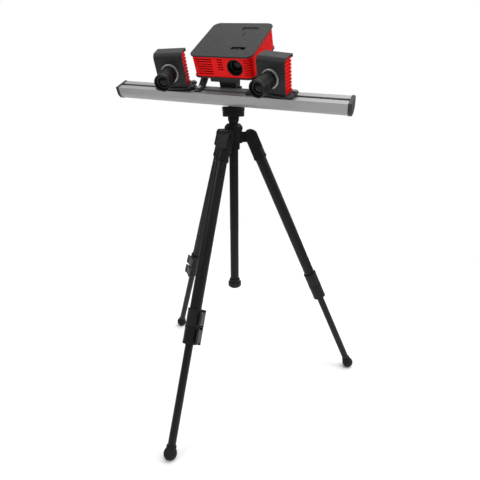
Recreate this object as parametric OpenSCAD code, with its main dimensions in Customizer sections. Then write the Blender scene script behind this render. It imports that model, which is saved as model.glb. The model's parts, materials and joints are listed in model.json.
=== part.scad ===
// Structured light 3D scanner: a projector and two cameras on an aluminium rail,
// carried by a ball head on a folding tripod. Millimetres, +Z up. The origin is on the floor under
// the column axis, +X runs along the rail and -Y is the side the scanner looks towards.

/* [Tripod] */
// Height of the leg hinges above the floor
hinge_height = 700; // [640:5:760]
// Distance from the column axis to each leg hinge
hinge_radius = 43.5; // [43:0.5:52]
// Distance from the column axis to the point where each leg meets the floor
foot_radius = 355.3; // [330:0.1:380]
// Radius of the upper leg tube
upper_r = 14; // [13:0.5:14]
// Radius of the middle leg tube
middle_r = 11.7; // [11:0.1:11.8]
// Radius of the lower leg tube
lower_r = 9.4; // [8.5:0.1:9.5]
// Distance down the leg from its hinge to the first lock
lock_start = 418; // [400:1:440]
// Length of one lock collar
lock_len = 40; // [36:1:44]
// Radius of the bulb of each rubber foot
foot_r = 15.5; // [15:0.1:17]

/* [Column] */
// Radius of the centre column tube
column_r = 11.5; // [10:0.5:11.5]
// Height of the lowest point of the column's end cap
column_bottom = 283; // [260:1:320]
// Height of the column's top face
column_top = 745; // [740:1:750]

/* [Ball head] */
// Height of the ball's centre
ball_z = 762; // [760:1:764]
// Radius of the ball
ball_r = 15; // [14:0.5:16]
// Radius of the ball housing at its rim
housing_r = 28; // [27:0.5:29]
// Angle the head looks down
head_pitch = 25.5; // [20:0.1:27]
// Angle the head leans to its right
head_roll = 4.7; // [0:0.1:6]
// Distance from the ball's centre forward to the middle of the rail
rail_ahead = 23.6; // [22:0.1:26]
// Distance from the middle of the rail sideways to the ball's centre
rail_side = 5.2; // [0:0.1:8]
// Distance from the ball's centre up to the rail's top face
rail_rise = 56.6; // [53:0.1:60]

/* [Rail] */
// Length of the rail with its end caps
rail_len = 594; // [560:2:640]
// Depth of the rail's top face
rail_d = 41; // [38:1:44]
// Height of the rail
rail_h = 32.5; // [30:0.5:34]
// Radius of the rail's rounded bottom edges
rail_round = 18; // [14:0.5:19]
// Thickness of each end cap
end_cap_t = 8; // [6:1:10]

/* [Projector] */
// Width of the projector's cover
proj_w = 154; // [148:1:160]
// Depth of the projector's cover
proj_d = 160; // [154:1:166]
// Height of the projector
proj_h = 53; // [53:1:56]
// Angle between the projector and the rail
proj_pitch = 7.5; // [5:0.1:9]
// Height of the middle of the cover above the rail
proj_rise = 90.9; // [88:0.1:94]
// Distance from the middle of the rail back to the middle of the cover
proj_back = 72.7; // [70:0.1:76]
// Sideways place of the projector's lens
proj_lens_x = 33; // [30:1:36]
// Radius of the projector's lens opening
proj_lens_r = 19.3; // [18:0.1:19.3]

/* [Camera units] */
// Distance from the rail's middle to each camera unit
unit_x = 127; // [126:0.1:150]
// Angle each unit is turned in towards the middle
unit_toe = 11; // [8:0.5:12]
// Width of a unit's front plate
unit_w = 69; // [66:0.5:74]
// Height of a unit above the rail
unit_h = 85; // [84:1:92]
// Width of a unit's foot
unit_foot_w = 98; // [94:1:100]
// Sideways place of the camera lens on the unit
lens_x = -1; // [-4:0.1:2]
// Height of the camera lens axis above the rail
lens_z = 42; // [40:0.1:46]
// Radius of the lens hood
hood_r = 19.2; // [18.8:0.1:20]
// Distance that the lens stands out of the front plate
lens_len = 57.5; // [56:0.5:60]

/* [Hidden] */
$fn = 64;
LEGS = ["front", "right", "left"];
LEG_AZIMUTH = [-90, 30, 150];
SIDES = ["left", "right"];
LEG_NODES = [for (leg = LEGS) for (n = ["shoulder", "upper_tube", "upper_clamp", "upper_lever",
    "middle_section", "lower_lever", "lower_tube", "foot"]) str(leg, "_", n)];
UNIT_NODES = [for (side = SIDES) for (n = ["carriage", "unit_bracket", "unit_housing", "camera",
    "lens_barrel", "iris_ring", "focus_ring"]) str(side, "_", n)];

gap = 0.3;                 // clearance between pieces that move past each other
fit = 0.05;                // radial clearance of a pin in its hole
black = [0.13, 0.13, 0.13];
graphite = [0.24, 0.24, 0.24];
alloy = [0.72, 0.72, 0.73];
red = [0.90, 0.07, 0.08];

leg_angle = atan((foot_radius - hinge_radius) / hinge_height);
leg_len = hinge_height / cos(leg_angle);
second_lock = lock_start + lock_len + 1;
leg_lock_end = second_lock + lock_len;
rib_pitch = 5.6;           // ribs of the projector's shell
rib_gap = 2.6;
slot_w = 9;                // mouth of the rail's T slot
slot_lip = 2.4;
nut_w = 14;                // inside of the T slot
nut_h = 5;
cap_peg_y = 13;            // pegs of the end caps, from the middle of the rail

// ---------- shared shapes ----------

// A tube along Z between two heights
module tube(r_out, r_in, low, high) {
  translate([0, 0, low]) difference() {
    cylinder(r = r_out, h = high - low);
    translate([0, 0, -1]) cylinder(r = r_in, h = high - low + 2);
  }
}

// A block given by its low and high corners
module block(low, high) {
  translate(low) cube(high - low);
}

// A rectangle centred on the origin with round corners
module round_rect(w, d, r) {
  square([w, d - 2 * r], center = true);
  square([w - 2 * r, d], center = true);
  for (x = [-1, 1], y = [-1, 1]) translate([x * (w / 2 - r), y * (d / 2 - r)]) circle(r);
}

// Frame of one leg: origin on its hinge, -Z down the leg, +X away from the column
module on_leg(azimuth) {
  rotate([0, 0, azimuth]) translate([hinge_radius, 0, hinge_height]) rotate([0, -leg_angle, 0])
    children();
}

// Frame of the head: origin at the middle of the rail's top face
module on_head() {
  translate([0, 0, ball_z]) rotate([head_pitch, 0, 0]) rotate([0, head_roll, 0])
    translate([-rail_side, -rail_ahead, rail_rise]) children();
}

// Frame of the projector: origin at the middle of its cover's top
module on_projector() {
  on_head() translate([0, proj_back, proj_rise]) rotate([proj_pitch, 0, 0]) children();
}

// Frame of one camera unit: origin on the rail's top, -Y where the camera looks
module on_unit(side) {
  sign = side == "left" ? -1 : 1;
  on_head() translate([sign * unit_x - unit_aside, 0, 0]) rotate([0, 0, -sign * unit_toe]) children();
}

// Frame of a lens on a unit: +Z forward along the lens from the face of the front plate
module on_lens(side) {
  on_unit(side) translate([lens_x, -plate_front, lens_z]) rotate([90, 0, 0]) children();
}

// A ring with a knurled grip, along +Z
module knurled_ring(r_out, r_in, low, high, count) {
  difference() {
    tube(r_out, r_in, low, high);
    for (i = [0:count - 1]) rotate([0, 0, i * 360 / count]) translate([r_out + 0.35, 0, low + 1.4])
      cylinder(r = 0.9, h = high - low - 2.8, $fn = 16);
  }
}

// ---------- tripod centre ----------

hub_top = hinge_height + 9;
hub_bottom = hinge_height - 18;
tongue_w = 15;
cheek_r = 15.2;
shoulder_w = 30;
pin_r = 4;

module spider() {
  color(black) difference() {
    union() {
      translate([0, 0, hub_bottom]) cylinder(r = 22, h = hub_top - hub_bottom);
      translate([0, 0, hub_bottom - 16]) cylinder(r = 15.5, h = 17);
      translate([0, 0, hub_top - 1]) cylinder(r = 15, h = 12);
      for (azimuth = LEG_AZIMUTH) rotate([0, 0, azimuth]) {
        block([15, -tongue_w / 2, hinge_height - 16], [hinge_radius - 9, tongue_w / 2, hub_top]);
        block([15, -11, hinge_height - 13], [26, 11, hub_top - 3]);
        translate([hinge_radius, 0, hinge_height]) rotate([90, 0, 0])
          cylinder(r = 12.6, h = tongue_w, center = true);
      }
    }
    translate([0, 0, hub_bottom - 20]) cylinder(r = column_r + gap, h = 70);
    for (azimuth = LEG_AZIMUTH) rotate([0, 0, azimuth])
      translate([hinge_radius, 0, hinge_height]) rotate([90, 0, 0])
        cylinder(r = pin_r, h = 40, center = true);
  }
}

module leg_pins() {
  color(black) for (azimuth = LEG_AZIMUTH) rotate([0, 0, azimuth])
    translate([hinge_radius, 0, hinge_height]) rotate([90, 0, 0]) difference() {
      union() {
        cylinder(r = pin_r, h = shoulder_w + 2, center = true);
        for (s = [-1, 1]) translate([0, 0, s * (shoulder_w / 2 + 1.3)])
          cylinder(r = 6.5, h = 1.8, center = true);
      }
      translate([0, 0, shoulder_w / 2 + 0.8]) cylinder(r = 2.9, h = 5, $fn = 6);
    }
}

module column() {
  color(black) difference() {
    union() {
      translate([0, 0, column_bottom + 14]) cylinder(r = column_r, h = column_top - column_bottom - 26);
      translate([0, 0, column_top - 13]) cylinder(r1 = column_r, r2 = 13.8, h = 5);
      translate([0, 0, column_top - 8]) cylinder(r = 13.8, h = 8);
      translate([0, 0, column_top - 1]) cylinder(r = 4.7, h = 2.2);
    }
    translate([0, 0, column_bottom]) cylinder(r = column_r - 1.7, h = column_top - column_bottom - 20);
  }
}

module column_end_cap() {
  color(black) difference() {
    union() {
      intersection() {
        translate([0, 0, column_bottom]) cylinder(r = 18, h = 19);
        translate([0, 0, column_bottom + 24]) sphere(r = 24);
      }
      translate([0, 0, column_bottom + 18]) cylinder(r = 14.5, h = 10);
    }
    translate([0, 0, column_bottom + 14]) cylinder(r = column_r, h = 30);
    translate([0, 0, column_bottom - 1]) cylinder(r = 3.2, h = 11);
  }
}

module column_lock_collar() {
  low = hub_top + 0.5;
  color(black) difference() {
    union() {
      translate([0, 0, low]) cylinder(r = 21.2, h = 3);
      translate([0, 0, low + 3]) cylinder(r1 = 21.2, r2 = 22.6, h = 2);
      translate([0, 0, low + 5]) cylinder(r = 22.6, h = 7);
      translate([0, 0, low + 12]) cylinder(r1 = 22.6, r2 = 16.5, h = 7.5);
    }
    translate([0, 0, low - 1]) cylinder(r = 15 + gap, h = 13);
    translate([0, 0, low]) cylinder(r = column_r + gap, h = 30);
    translate([0, 0, low + 16]) cylinder(r = 13.4, h = 10);
    for (i = [0:9]) rotate([0, 0, i * 36 + 18]) translate([25.4, 0, low + 4.4])
      cylinder(r = 4.4, h = 20);
  }
}

// ---------- legs, each built in the frame of its own leg ----------

sleeve_end = 62;           // where the shoulder's sleeve ends down the leg

module shoulder(azimuth) {
  color(black) on_leg(azimuth) difference() {
    union() {
      rotate([90, 0, 0]) cylinder(r = cheek_r, h = shoulder_w, center = true);
      intersection() {
        block([-cheek_r, -shoulder_w / 2, -34], [cheek_r, shoulder_w / 2, 0]);
        translate([0, 0, -36]) cylinder(r = 20.5, h = 40);
      }
      translate([0, 0, -sleeve_end]) cylinder(r = 16.2, h = 30);
      translate([0, 0, -sleeve_end]) cylinder(r = 16.9, h = 6);
    }
    block([-30, -tongue_w / 2 - 0.4, -20], [0, tongue_w / 2 + 0.4, 20]);
    rotate([90, 0, 0]) cylinder(r = 13, h = tongue_w + 0.8, center = true);
    rotate([90, 0, 0]) cylinder(r = pin_r + fit, h = 60, center = true);
    translate([0, 0, -80]) cylinder(r = upper_r, h = 58);
  }
}

module upper_tube(azimuth) {
  color(black) on_leg(azimuth) tube(upper_r, middle_r + gap, -lock_start - 16, -22);
}

// Collar of a lock: a clamping ring with a split, two lugs and the pin its lever turns on.
// It runs down from top, and its bore changes from r_above to r_below at the step.
lever_x = -9;              // place of the lever's pin across the leg
lever_y = 19.7;
lever_pin_r = 2;
lug_r = 4;
lock_r = 17.4;

module lock_collar(top, r_above, r_below, step) {
  translate([0, 0, -top]) difference() {
    union() {
      translate([0, 0, -lock_len]) cylinder(r = lock_r - 0.4, h = lock_len);
      translate([0, 0, -lock_len]) cylinder(r = lock_r, h = 4);
      translate([0, 0, -4]) cylinder(r = lock_r, h = 4);
      for (z = [-lock_len, -4.5]) {
        translate([lever_x, lever_y, z]) cylinder(r = lug_r, h = 4.5, $fn = 32);
        block([lever_x - lug_r, 10, z], [lever_x + lug_r, lever_y, z + 4.5]);
      }
      translate([lever_x, lever_y, -lock_len + 1]) cylinder(r = lever_pin_r, h = lock_len - 2, $fn = 32);
    }
    translate([0, 0, -step]) cylinder(r = r_above, h = step + 1);
    translate([0, 0, -lock_len - 1]) cylinder(r = r_below, h = lock_len + 1 - step + 0.01);
    block([2, 8, -lock_len + 6], [4.5, 18, -6]);
  }
}

// Flip lever beside a lock, closed along the leg
module lock_lever(azimuth, top) {
  low = -top - lock_len + 5;
  high = -top - 5;
  color(graphite) on_leg(azimuth) difference() {
    union() {
      translate([lever_x, lever_y, low]) cylinder(r = lug_r, h = high - low, $fn = 32);
      block([lever_x, 17.9, low], [8, 23.7, high]);
      block([5, 20.5, low], [11, 25.1, high]);
      translate([11, 22.8, low]) cylinder(r = 2.3, h = high - low, $fn = 32);
    }
    translate([lever_x, lever_y, low - 1])
      cylinder(r = lever_pin_r + fit, h = high - low + 2, $fn = 32);
    translate([0, 0, low - 1]) cylinder(r = lock_r + 0.4, h = high - low + 2);
  }
}

module upper_clamp(azimuth) {
  color(black) on_leg(azimuth) lock_collar(lock_start, upper_r, middle_r + gap, 16);
}

module middle_section(azimuth) {
  color(black) on_leg(azimuth) {
    tube(middle_r, lower_r + gap, -second_lock - 16, -70);
    lock_collar(second_lock, middle_r, lower_r + gap, 16);
  }
}

lower_start = 395;         // top of the lower tube down the leg
foot_top = leg_len - 34;

module lower_tube(azimuth) {
  color(black) on_leg(azimuth) tube(lower_r, lower_r - 1.2, -foot_top - 14, -lower_start);
}

module foot(azimuth) {
  pad_x = foot_radius - foot_r * sin(leg_angle);
  pad_z = foot_r * cos(leg_angle);
  color(black) difference() {
    union() {
      rotate([0, 0, azimuth]) translate([pad_x, 0, pad_z]) difference() {
        sphere(r = foot_r);
        translate([-20, -20, -40 - pad_z]) cube([40, 40, 40]);
      }
      on_leg(azimuth) {
        translate([0, 0, -leg_len + foot_r]) cylinder(r1 = 12.8, r2 = 10.4, h = 14);
        translate([0, 0, -foot_top - 8]) cylinder(r = 11.8, h = 6.5);
        translate([0, 0, -foot_top - 1.5]) cylinder(r1 = 11.8, r2 = 10.6, h = 1.5);
      }
    }
    on_leg(azimuth) {
      translate([0, 0, -foot_top - 14]) cylinder(r = lower_r, h = 30);
      for (i = [0:2]) translate([0, 0, -foot_top - 4.2 + 1.7 * i]) tube(20, 11.2, -0.35, 0.35);
    }
  }
}

// ---------- ball head ----------

knob_azimuth = 115;        // side of the housing that carries the lock knob
knob_z = ball_z - 9.5;

module ball_housing() {
  low = column_top + gap;
  rim = ball_z + 7.5;
  color(black) difference() {
    union() {
      translate([0, 0, low]) cylinder(r1 = housing_r - 3.2, r2 = housing_r - 1.3, h = 1.5);
      translate([0, 0, low + 1.5]) cylinder(r1 = housing_r - 1.3, r2 = housing_r, h = rim - low - 3.5);
      translate([0, 0, rim - 2]) cylinder(r1 = housing_r, r2 = housing_r - 2, h = 2);
      rotate([0, 0, knob_azimuth]) translate([0, 0, knob_z]) rotate([0, 90, 0])
        cylinder(r = 6.5, h = 29);
    }
    translate([0, 0, ball_z]) sphere(r = ball_r + fit);
    translate([0, 0, low - 1]) cylinder(r = 4.7 + fit, h = 10);
    rotate([0, 0, knob_azimuth]) translate([0, 0, knob_z]) rotate([0, 90, 0])
      translate([0, 0, 18]) cylinder(r = 3 + fit, h = 20);
    for (z = [low + 8.5, low + 12]) translate([0, 0, z]) tube(40, housing_r - 2.2, -0.5, 0.5);
  }
}

module ball_lock_knob() {
  color(black) rotate([0, 0, knob_azimuth]) translate([0, 0, knob_z]) rotate([0, 90, 0])
    difference() {
      union() {
        translate([0, 0, 20]) cylinder(r = 3, h = 12);
        translate([0, 0, 29.4]) cylinder(r = 9.5, h = 13);
        translate([0, 0, 42.4]) cylinder(r1 = 9.5, r2 = 8, h = 1.6);
      }
      for (i = [0:7]) rotate([0, 0, i * 45]) translate([11.6, 0, 31])
        cylinder(r = 3.2, h = 20, $fn = 24);
    }
}

saddle_w = 42;
saddle_back = 42;
saddle_top = -4;

module ball_platform() {
  color(black) on_head() {
    translate([rail_side, rail_ahead, -rail_rise]) sphere(r = ball_r);
    translate([rail_side, rail_ahead, -rail_rise]) cylinder(r = 7, h = rail_rise - rail_h + 1);
    difference() {
      union() {
        block([-saddle_w / 2, 0, -rail_h - 2], [saddle_w / 2 + rail_side, saddle_back, saddle_top]);
        translate([rail_side, rail_ahead + 4, -rail_h - 2]) cylinder(r = 19.5, h = 7);
      }
      rotate([90, 0, 90]) linear_extrude(100, center = true) rail_outline(0);
    }
  }
}

// ---------- rail ----------

rail_alloy_len = rail_len - 2 * end_cap_t;

// Section of the rail: flat top, upright sides and a rounded bottom
module rail_outline(extra) {
  side = rail_d / 2 + extra;
  turn = rail_round - rail_h;
  translate([-side, turn]) square([2 * side, extra - turn]);
  translate([rail_round - rail_d / 2, -rail_h - extra]) square([rail_d - 2 * rail_round, rail_round + extra]);
  intersection() {
    for (s = [-1, 1]) translate([s * (rail_d / 2 - rail_round), turn]) circle(rail_round + extra, $fn = 180);
    translate([-side, -rail_h - extra]) square([2 * side, rail_h + 2 * extra]);
  }
}

module rail() {
  color(alloy) on_head() rotate([90, 0, 90]) linear_extrude(rail_alloy_len, center = true)
    difference() {
      rail_outline(0);
      translate([-slot_w / 2, -slot_lip - 1]) square([slot_w, slot_lip + 2]);
      translate([-nut_w / 2, -slot_lip - nut_h]) square([nut_w, nut_h]);
      for (y = [-1, 1]) translate([y * cap_peg_y, -6.5]) circle(r = 2.1, $fn = 24);
      translate([0, -16]) circle(r = 5.6, $fn = 48);
      for (y = [-1, 1]) translate([y * 10.4, -15]) circle(r = 2.6, $fn = 32);
    }
}

module rail_end_caps() {
  color(graphite) on_head() for (s = [-1, 1]) mirror([s < 0 ? 1 : 0, 0, 0])
    translate([rail_alloy_len / 2, 0, 0]) rotate([90, 0, 90]) {
      difference() {
        union() {
          linear_extrude(end_cap_t - 1.5) rail_outline(1);
          translate([0, 0, end_cap_t - 1.5]) linear_extrude(1.5) rail_outline(0.2);
        }
        translate([0, 0, end_cap_t - 0.6]) linear_extrude(3) rail_outline(-2.2);
      }
      for (y = [-1, 1]) translate([y * cap_peg_y, -6.5, -7]) cylinder(r = 2.05, h = 8, $fn = 24);
    }
}

arm_in = 57.5;             // side arms of the projector bracket, from the middle of the rail
arm_out = 73.5;
arm_foot_t = 3;

// Nut that slides in the rail's T slot
module t_nut(half_len) {
  block([-half_len, -slot_w / 2 + gap, -slot_lip - 1], [half_len, slot_w / 2 - gap, 0]);
  block([-half_len, -nut_w / 2 + gap, -slot_lip - nut_h + 0.4],
    [half_len, nut_w / 2 - gap, -slot_lip - gap]);
}

// Head of a socket screw, standing on z = 0
module socket_head() {
  difference() {
    cylinder(r = 4.4, h = 4.4, $fn = 48);
    translate([0, 0, 2]) cylinder(r = 2.4, h = 4, $fn = 6);
  }
}

module rail_screws() {
  color(alloy) on_head() {
    for (s = [-1, 1]) translate([s * (arm_in + arm_out) / 2, 0, 0]) {
      translate([0, 0, arm_foot_t]) socket_head();
      translate([0, 0, -slot_lip - 1]) cylinder(r = 2.8, h = slot_lip + 1 + arm_foot_t);
      t_nut(10);
    }
    for (s = [-1, 1]) translate([s * 12 + rail_side / 2, saddle_back, -18]) rotate([-90, 0, 0]) socket_head();
  }
}

// ---------- projector ----------

cover_t = 2.5;
base_t = 3;
shell_w = proj_w - 6;
shell_d = proj_d - 6;
shell_r = 15;
wall = 2.8;
shell_low = -proj_h + base_t;
shell_high = -cover_t;
lens_low = -26.5;          // height of the projector's lens axis below the cover's top

// Height of the projector's underside above the rail, at a distance y behind the rail's middle
function underside(y) = proj_rise - proj_h / cos(proj_pitch) + (y - proj_back) * tan(proj_pitch);

// Middle support of the bracket: upright at the front, swept back to a long top under the projector
module gusset(front, low, foot, reach) {
  difference() {
    polygon([[front, low], [foot, low], [reach, underside(reach) - 7],
      [reach, underside(reach) - 2], [front, underside(front) - 2]]);
    translate([reach + 2, low - 4]) circle(r = reach - foot - 1);
  }
}

// Side strut of the bracket, leaning back from its foot on the rail
module strut() {
  polygon([[5, 0], [17, 0], [84, underside(84) - 1], [60, underside(60) - 1]]);
}

module projector_bracket() {
  tray_t = 4;
  tray_front = -proj_d / 2 + 4;
  color(black) {
    on_projector() difference() {
      union() {
        block([-35, tray_front, -proj_h - tray_t], [35, 20, -proj_h]);
        block([-35, tray_front, -proj_h - 10], [35, tray_front + 3, -proj_h]);
        block([-arm_out, -30, -proj_h - 3], [arm_out, 20, -proj_h]);
      }
      for (x = [-47, 47]) translate([x, -5, -proj_h - 5])
        cylinder(r = 5.5, h = 10, $fn = 48);
    }
    on_head() {
      rotate([90, 0, 90]) linear_extrude(saddle_w, center = true)
        gusset(rail_d / 2 + 0.4, saddle_top, saddle_back, 92);
      for (s = [-1, 1]) mirror([s < 0 ? 1 : 0, 0, 0]) {
        translate([arm_in, 0, 0]) rotate([90, 0, 90]) linear_extrude(arm_out - arm_in) strut();
        difference() {
          block([arm_in, -13, 0], [arm_out, 17, arm_foot_t]);
          translate([(arm_in + arm_out) / 2, 0, -1]) cylinder(r = 2.8, h = 10);
        }
      }
    }
  }
}

module projector_base() {
  color(black) on_projector() {
    difference() {
      translate([0, 0, -proj_h]) linear_extrude(base_t) round_rect(proj_w - 2, proj_d - 2, 16);
      for (y = [-52:7:-17]) block([-62, y, -proj_h - 1], [-22, y + 3, -proj_h + 5]);
    }
    difference() {
      block([10, 53, shell_low], [56, 66, shell_low + 43]);
      translate([33, 50, shell_low + 21.5]) rotate([-90, 0, 0]) cylinder(r = 20.5, h = 20);
    }
    block([31.5, 64.5, shell_low], [34.5, 66, shell_low + 43]);
    for (x = [-60, -16], y = [-60, 30]) translate([x, y, shell_low]) cylinder(r = 3, h = 4);
  }
}

// Rounded box of the shell, shrunk on every side
module shell_box(shrink, low, high) {
  translate([0, 0, low]) linear_extrude(high - low)
    round_rect(shell_w - 2 * shrink, shell_d - 2 * shrink, shell_r - shrink);
}

module projector_shell() {
  rib_tops = [for (i = [0:6]) -8 - i * rib_pitch];
  color(red) on_projector() difference() {
    shell_box(0, shell_low, shell_high);
    shell_box(wall, shell_low - 1, shell_high + 1);
    // ribs run round both sides and the back, and along the front beside the lens
    for (z = rib_tops) difference() {
      shell_box(-3, z - rib_gap, z);
      shell_box(2, z - rib_gap - 1, z + 1);
      block([-shell_w / 2 + 9, -shell_d / 2 - 5, z - 9], [proj_lens_x + 22, -40, z + 9]);
    }
    // open air slots in front, left of the lens
    for (z = rib_tops) block([-61, -shell_d / 2 - 5, z - rib_gap], [-22, -60, z]);
    for (i = [0:4]) block([-8, -shell_d / 2 - 5, rib_tops[i] - rib_gap], [5, -60, rib_tops[i]]);
    translate([proj_lens_x, 0, lens_low]) rotate([90, 0, 0]) cylinder(r = proj_lens_r, h = 100);
    // open slots behind the fan, and the openings for the sockets
    for (z = rib_tops) block([14, 60, z - rib_gap], [52, shell_d / 2 + 5, z]);
    block([-52, 60, -41.4], [-36, shell_d / 2 + 5, -34.6]);
    block([-30, 60, -41.4], [-14, shell_d / 2 + 5, -34.6]);
    translate([-62, 60, -37]) rotate([-90, 0, 0]) cylinder(r = 4.6, h = 40);
  }
}

module projector_cover() {
  color(graphite) on_projector() difference() {
    union() {
      translate([0, 0, -cover_t]) linear_extrude(cover_t - 0.6) round_rect(proj_w, proj_d, 18);
      translate([0, 0, -0.6]) linear_extrude(0.6) round_rect(proj_w - 1.2, proj_d - 1.2, 17.4);
    }
    translate([31, -41, -5]) linear_extrude(10) round_rect(34, 11, 2.5);
    translate([26.5, 50.5, -5]) linear_extrude(10) round_rect(40, 14, 2.5);
    translate([21, 20, -1.5]) cylinder(r = 2.4, h = 5);
    block([20, 20, -1.5], [22, 32, 5]);
  }
}

module projector_lens() {
  color(black) on_projector() translate([proj_lens_x, 0, lens_low]) rotate([90, 0, 0]) {
    difference() {
      union() {
        translate([0, 0, 44]) cylinder(r = 17.2, h = 22);
        translate([0, 0, 60]) cylinder(r = proj_lens_r - 0.3, h = 16.4);
        translate([0, 0, 14]) cylinder(r = 14, h = 34);
        translate([0, 0, 30]) cylinder(r = 17.2, h = 4);
      }
      translate([0, 0, 62]) cylinder(r1 = 13, r2 = 17.4, h = 14.5);
      translate([0, 0, 50]) cylinder(r = 13, h = 13);
      translate([0, 0, 10]) cylinder(r = 10.5, h = 60);
    }
  }
}

module projector_focus_ring() {
  color(black) on_projector() translate([proj_lens_x, 0, lens_low]) rotate([90, 0, 0]) {
    knurled_ring(17, 14 + gap, 34.5, 43.5, 30);
    block([-3.5, 16, 36.5], [3.5, 24.5, 41.5]);
  }
}

module projector_light_engine() {
  color(alloy) on_projector() difference() {
    union() {
      block([2, -14, shell_low], [64, 46, -9]);
      block([12, 46, shell_low], [54, 50, -14]);
    }
    translate([proj_lens_x, -13, lens_low]) rotate([90, 0, 0]) cylinder(r = 11, h = 10);
    for (x = [6:6:60]) block([x, 14, -20], [x + 3, 60, 0]);
  }
}

module projector_fan() {
  color(black) on_projector() translate([33, 54, shell_low + 21.5]) rotate([-90, 0, 0]) {
    cylinder(r = 8, h = 9);
    for (i = [0:6]) rotate([0, 0, i * 360 / 7]) rotate([28, 0, 0])
      block([6, -0.7, 1.5], [19, 0.7, 8]);
  }
}

module projector_board() {
  color("darkgreen") on_projector() {
    difference() {
      block([-67.5, -66, shell_low + 4], [-11, 66, shell_low + 5.6]);
      for (x = [-60, -16], y = [-60, 30]) translate([x, y, shell_low]) cylinder(r = 1.6, h = 12, $fn = 24);
    }
    for (x = [-44, -22]) difference() {
      block([x - 7.4, 58, -44.4], [x + 7.4, 74, -35.2]);
      block([x - 6.2, 64, -41], [x + 6.2, 80, -36.4]);
    }
    difference() {
      block([-65.5, 60, -44.4], [-58.5, 69.5, -33]);
      translate([-62, 63, -37]) rotate([-90, 0, 0]) cylinder(r = 2.9, h = 20, $fn = 32);
    }
    block([-60, -40, shell_low + 5.6], [-30, -5, -38]);
    for (i = [0:3]) translate([-24, -50 + i * 14, shell_low + 5.6]) cylinder(r = 4, h = 12);
  }
}

module power_button() {
  color(graphite) on_projector() translate([26.5, 50.5, 0]) {
    translate([0, 0, -3.4]) linear_extrude(1.9) round_rect(39.2, 13.2, 2.2);
    translate([0, 0, -4.4]) linear_extrude(1) round_rect(44, 18, 3);
  }
}

// ---------- camera units ----------

plate_front = 15.1;        // distance of the front plate's face ahead of the rail's middle
sheet = 2.5;
bend_r = 12;
carriage_t = 3;
foot_low = carriage_t + gap;
foot_high = foot_low + 4;
unit_back = 22;
unit_aside = 2.8;          // both units stand this much to the left of the rail's middle
bolt_x = 42;
bolt_y = 14;

module carriage(side) {
  sign = side == "left" ? -1 : 1;
  color(graphite) on_head() translate([sign * unit_x - unit_aside, 0, 0]) {
    difference() {
      union() {
        block([-44, -14, 0], [44, 14, carriage_t]);
        t_nut(20);
      }
      for (x = [-44, 44], y = [-14, 14]) translate([x, y, -1]) rotate([0, 0, 45])
        cube([4, 4, 12], center = true);
    }
    translate([0, 0, carriage_t - 1]) cylinder(r = 3, h = 5);
  }
}

// Side view of the bent sheet: front plate, round bend, top flange and a short lip behind
module bracket_profile() {
  difference() {
    union() {
      translate([-plate_front, foot_low]) square([plate_front + unit_back, unit_h - foot_low - bend_r]);
      translate([-plate_front + bend_r, foot_low]) square([plate_front + unit_back - bend_r, unit_h - foot_low]);
      translate([-plate_front + bend_r, unit_h - bend_r]) circle(bend_r);
    }
    translate([-plate_front + sheet, -5])
      square([plate_front + unit_back - 2 * sheet, unit_h - bend_r + 5]);
    translate([-plate_front + bend_r, 0])
      square([plate_front + unit_back - bend_r - sheet, unit_h - sheet]);
    translate([-plate_front + bend_r, unit_h - bend_r]) circle(bend_r - sheet);
    translate([unit_back - sheet - 1, -5]) square([sheet + 2, unit_h - 2]);
  }
}

module unit_foot_outline() {
  w = unit_foot_w / 2;
  polygon([[-w + 8, -19], [w - 8, -19], [w, -11], [w, 18], [w - 6, 24], [-w + 6, 24], [-w, 18], [-w, -11]]);
}

module unit_bracket(side) {
  color(graphite) on_unit(side) difference() {
    union() {
      rotate([90, 0, 90]) linear_extrude(unit_w, center = true) bracket_profile();
      translate([0, 0, foot_low]) linear_extrude(foot_high - foot_low) unit_foot_outline();
    }
    translate([lens_x, 0, lens_z]) rotate([90, 0, 0]) cylinder(r = 17.4, h = 40);
    translate([0, 0, -5]) cylinder(r = 3 + fit, h = 30);
    for (x = [-1, 1]) translate([x * bolt_x, bolt_y, 0]) cylinder(r = 2.6, h = 20, $fn = 32);
    for (x = [-1, 1]) translate([x * bolt_x, bolt_y, foot_high - 0.8]) cylinder(r = 4.9, h = 20, $fn = 48);
  }
}

housing_x = unit_w / 2 - 2.5;
housing_front = -plate_front + sheet + 0.1;
housing_back = unit_back - sheet - 0.2;

module unit_housing(side) {
  low = foot_high + 0.1;
  high = unit_h - sheet - 2.5;
  color(red) on_unit(side) difference() {
    union() {
      block([-housing_x, housing_front, low], [housing_x, housing_back, high - bend_r]);
      block([-housing_x, housing_front + bend_r, low], [housing_x, housing_back, high]);
      translate([-housing_x, housing_front + bend_r - 1, high - bend_r + 1]) rotate([0, 90, 0])
        cylinder(r = bend_r - 2.5, h = 2 * housing_x);
    }
    block([-housing_x + 3, housing_front - 5, low + 3], [housing_x - 3, housing_back - 2.5, high - 4]);
    for (z = [low + 5:7.6:high - 6]) {
      for (s = [-1, 1]) translate([s * (housing_x + 5 - 1.6), 0, z + 1.6]) cube([10, 60, 3.2], center = true);
      block([-60, housing_back - 1.4, z], [60, housing_back + 5, z + 3.2]);
    }
    block([-24, 0, low + 9], [-8, 60, low + 17]);
    translate([10, 0, low + 13]) rotate([-90, 0, 0]) cylinder(r = 5, h = 60);
  }
}

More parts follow.
